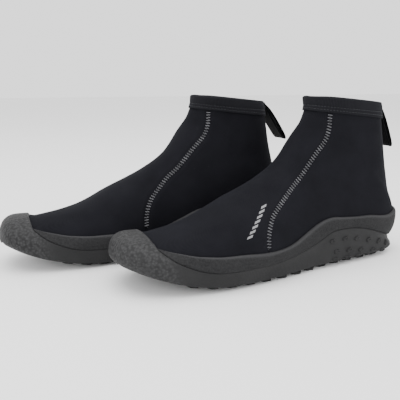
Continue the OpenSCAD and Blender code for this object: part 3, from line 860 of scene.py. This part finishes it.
def nubs(side, name):
    """Oval studs with a raised rim and a dished middle."""
    parts = []
    a = np.linspace(0, 2*math.pi, 25)[:-1]
    for sgn in (1, -1):
        for row in NUBS:
            for t, v in row:
                v = v if sgn > 0 else 360 - v
                c = cup(t, v)
                around = cup(t, v + 2) - cup(t, v - 2)
                n = unit(np.cross(around, cup(t + 0.05, v) - cup(t - 0.05, v)))
                al = unit(cup(t - 0.1, v) - c)
                up = np.cross(n, al)
                oval = np.cos(a)[:, None]*NUB_LONG*al + np.sin(a)[:, None]*NUB_WIDE*up
                rings = np.array([c + n*h + r*oval for r, h in NUB_PROFILE])
                vv, ff = loft(rings)
                parts.append((vv, fix_out(vv - vv.mean(0), ff)))
    vv, ff = join(parts)
    n = len(vv)
    return build(name, vv, ff, side, MAT["sole"], sharp=60,
                 marks={"cap": np.zeros(n), "plain": np.ones(n), "rib": np.zeros(n)})


# ---------------------------------------------------------------- inside
def inner_sheet(side, name, t0, t1, low, high, arc, flat, mat):
    """Sheet on the bottom of the upper, between two depths under its skin."""
    t = np.linspace(t0, t1, 90)[:, None]
    v = np.linspace(180 - arc, 180 + arc, 41)[None]
    lo = skin(t, v, np.full((90, 41), -low))
    hi = skin(t, v, np.full((90, 41), -high))
    if flat:
        f = np.linspace(0, 1, 41)[None, :, None]
        w = 1 - (2*f - 1)**4
        hi = hi + w*0.75*(hi[:, :1] + f*(hi[:, -1:] - hi[:, :1]) - hi)
        hi = hi + (0.12*bumps(hi, 0.1, 9.0))[..., None]*[0, 0, 1]
    vv, ff, _ = slab(lo, hi)
    return build(name, vv, fix_out(vv, ff), side, mat, sharp=50)


# ---------------------------------------------------------------- pull tab
TAB_ROOT = (14.2, 149.5)                 # x and z of the hinge
TAB_ANGLE = {1: 24, -1: 34}              # degrees off vertical, left and right
TAB_HALF = 11                            # half the webbing's width
TAB_SEWN = ((17.7, 153.8), (17.0, 152.6), (15.9, 151.4))
TAB_LOOP = ((-0.3, 0.2), (-1.25, -4), (-1.95, -12), (-2.15, -21), (-2.05, -31), (-1.6, -39),
            (-0.75, -41.8), (0, -42.3), (0.75, -41.8), (1.5, -39), (1.85, -31), (2.0, -21),
            (1.75, -12), (1.05, -5), (0.55, -2.5))


def tab(side, name):
    """Folded webbing: sewn end on the collar, then the hanging loop."""
    a = math.radians(TAB_ANGLE[side])

    def loc(x, z):
        return [TAB_ROOT[0] + x*math.cos(a) + z*math.sin(a),
                TAB_ROOT[1] - x*math.sin(a) + z*math.cos(a)]

    ctrl = np.array([list(q) for q in TAB_SEWN] + [loc(x, z) for x, z in TAB_LOOP])
    path = catmull(ctrl, np.linspace(0, len(ctrl) - 1, 170))
    tan = unit(np.gradient(path, axis=0))
    nor = np.stack([tan[:, 1], -tan[:, 0]], 1)
    ln = np.r_[0, np.cumsum(np.linalg.norm(np.diff(path, axis=0), axis=1))]
    ys = np.r_[-11, -10.85, -10.4, np.linspace(-9.6, 9.6, 17), 10.4, 10.85, 11]
    th = np.r_[0.3, 0.48, 0.6, np.full(17, 0.6), 0.6, 0.48, 0.3]
    rings, uv = [], []
    for p, n, s in zip(path, nor, ln):
        bow = 0.25*math.sin(s*0.09)*(1 - (ys/TAB_HALF)**2)
        top = [[p[0] + n[0]*h, y, p[1] + n[1]*h] for y, h in zip(ys, th + bow)]
        bot = [[p[0] - n[0]*h, y, p[1] - n[1]*h] for y, h in zip(ys, th - bow)]
        rings.append(top + bot[::-1])
        uv += [(s/1000, y/1000) for y in ys] + [(s/1000, y/1000) for y in ys[::-1]]
    vv, ff = loft(np.array(rings))
    ob = build(name, vv, fix_out(vv, ff), side, MAT["webbing"], uv=np.array(uv), sharp=60)
    parts = []
    for x, z in ((16.9, 153.2), (15.6, 151.5)):
        for y in np.arange(-9.2, 8.6, 1.8):
            p = [[x - back, y + along, z] for back, along in
                 ((0.05, 0), (0.5, 0.35), (0.55, 0.8), (0.5, 1.2), (0.05, 1.5))]
            parts.append(tube(p, 0.24, [-1, 0, 0.2], 6))
    vv, ff = join(parts)
    st = build(name + "_stitches", vv, ff, side, MAT["dark_thread"])
    return ob, st


# ---------------------------------------------------------------- assemble both boots
def finish_piece(ob, body, nodes):
    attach(ob, body)
    if nodes:
        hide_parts(*nodes)


for side, word in ((1, "left"), (-1, "right")):
    w = word + "_"
    body = w + "boot"
    finish_piece(vamp(side, w + "vamp_panel"), body, [w + "vamp"])
    finish_piece(quarter(side, w + "outer_quarter_panel", True),
                 body, [w + "outer_quarter"])
    finish_piece(quarter(side, w + "inner_quarter_panel", False),
                 body, [w + "inner_quarter"])
    c, cs = collar(side, w + "collar_band")
    finish_piece(c, body, [w + "collar_binding"])
    finish_piece(cs, body, [])
    finish_piece(seam_stitches(side, w + "outer_seam_stitches", True),
                 body, [w + "outer_seam_thread"])
    finish_piece(seam_stitches(side, w + "inner_seam_stitches", False),
                 body, [w + "inner_seam_thread"])
    finish_piece(print_bars(side, w + "print_bars"), body, [w + "side_print"])
    finish_piece(foxing(side, w + "foxing_strip"), body, [w + "foxing_band"])
    finish_piece(sole(side, w + "cup_sole"), body, [w + "outsole"])
    finish_piece(tread(side, w + "tread_bars"), body, [w + "tread"])
    finish_piece(nubs(side, w + "heel_studs"), body, [w + "heel_nubs"])
    finish_piece(inner_sheet(side, w + "board_sheet", 1.3, 9.3, 3.2, 5.0, 44, False, MAT["board"]),
                 body, [w + "insole_board"])
    finish_piece(inner_sheet(side, w + "footbed_sheet", 1.35, 9.25, 5.2, 7.6, 50, True, MAT["footbed"]),
                 body, [w + "footbed"])
    t, ts = tab(side, w + "tab_loop")
    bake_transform(t)
    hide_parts(w + "pull_tab")
    finish_piece(ts, body, [])

# ---------------------------------------------------------------- floor, light and camera
FLOOR = 6            # half its width, metres
WORLD_LIGHT = 1.7
LENS = 47.214
EYE = (-0.20608, -0.47456, 0.1751)
EYE_DOWN, EYE_TURN = 0.2206, 0.397       # radians below level, and off straight ahead

me = bpy.data.meshes.new("floor")
me.from_pydata([(-FLOOR, -FLOOR, 0), (FLOOR, -FLOOR, 0), (FLOOR, FLOOR, 0), (-FLOOR, FLOOR, 0)],
               [], [(0, 1, 2, 3)])
floor = bpy.data.objects.new("floor", me)
bpy.context.scene.collection.objects.link(floor)
fm, fnt, fb = material("studio_floor", (0.9, 0.9, 0.9), 0.75, 0.2)
shade = noise_(fnt, coords(fnt, "Object"), 3.0)
pale = mix(fnt, shade, (0.89, 0.89, 0.89), (0.91, 0.91, 0.91))
fnt.links.new(pale, fb.inputs["Base Color"])
me.materials.append(fm)

world = bpy.data.worlds.new("studio")
bpy.context.scene.world = world
world.use_nodes = True
world.node_tree.nodes["Background"].inputs[0].default_value = (1, 1, 1, 1)
world.node_tree.nodes["Background"].inputs[1].default_value = WORLD_LIGHT


def area(name, loc, target, size, power):
    li = bpy.data.lights.new(name, "AREA")
    li.shape = "RECTANGLE"
    li.size, li.size_y = size
    li.energy = power
    ob = bpy.data.objects.new(name, li)
    bpy.context.scene.collection.objects.link(ob)
    ob.location = loc
    ob.rotation_euler = (Vector(target) - Vector(loc)).to_track_quat("-Z", "Y").to_euler()


area("top_box", (-0.3, -0.1, 1.5), (0, 0, 0), (1.4, 1.2), 22)
area("front_box", (-1.2, -1.1, 0.8), (-0.05, 0, 0.05), (0.9, 0.9), 9)
area("side_box", (1.1, -0.9, 0.9), (0.1, 0, 0.08), (0.8, 0.8), 5)

cam = bpy.data.cameras.new("camera")
cam.sensor_width = 36
cam.lens = LENS
eye = bpy.data.objects.new("camera", cam)
bpy.context.scene.collection.objects.link(eye)
eye.location = EYE
eye.rotation_euler = (math.pi/2 - EYE_DOWN, 0, -EYE_TURN)
bpy.context.scene.camera = eye
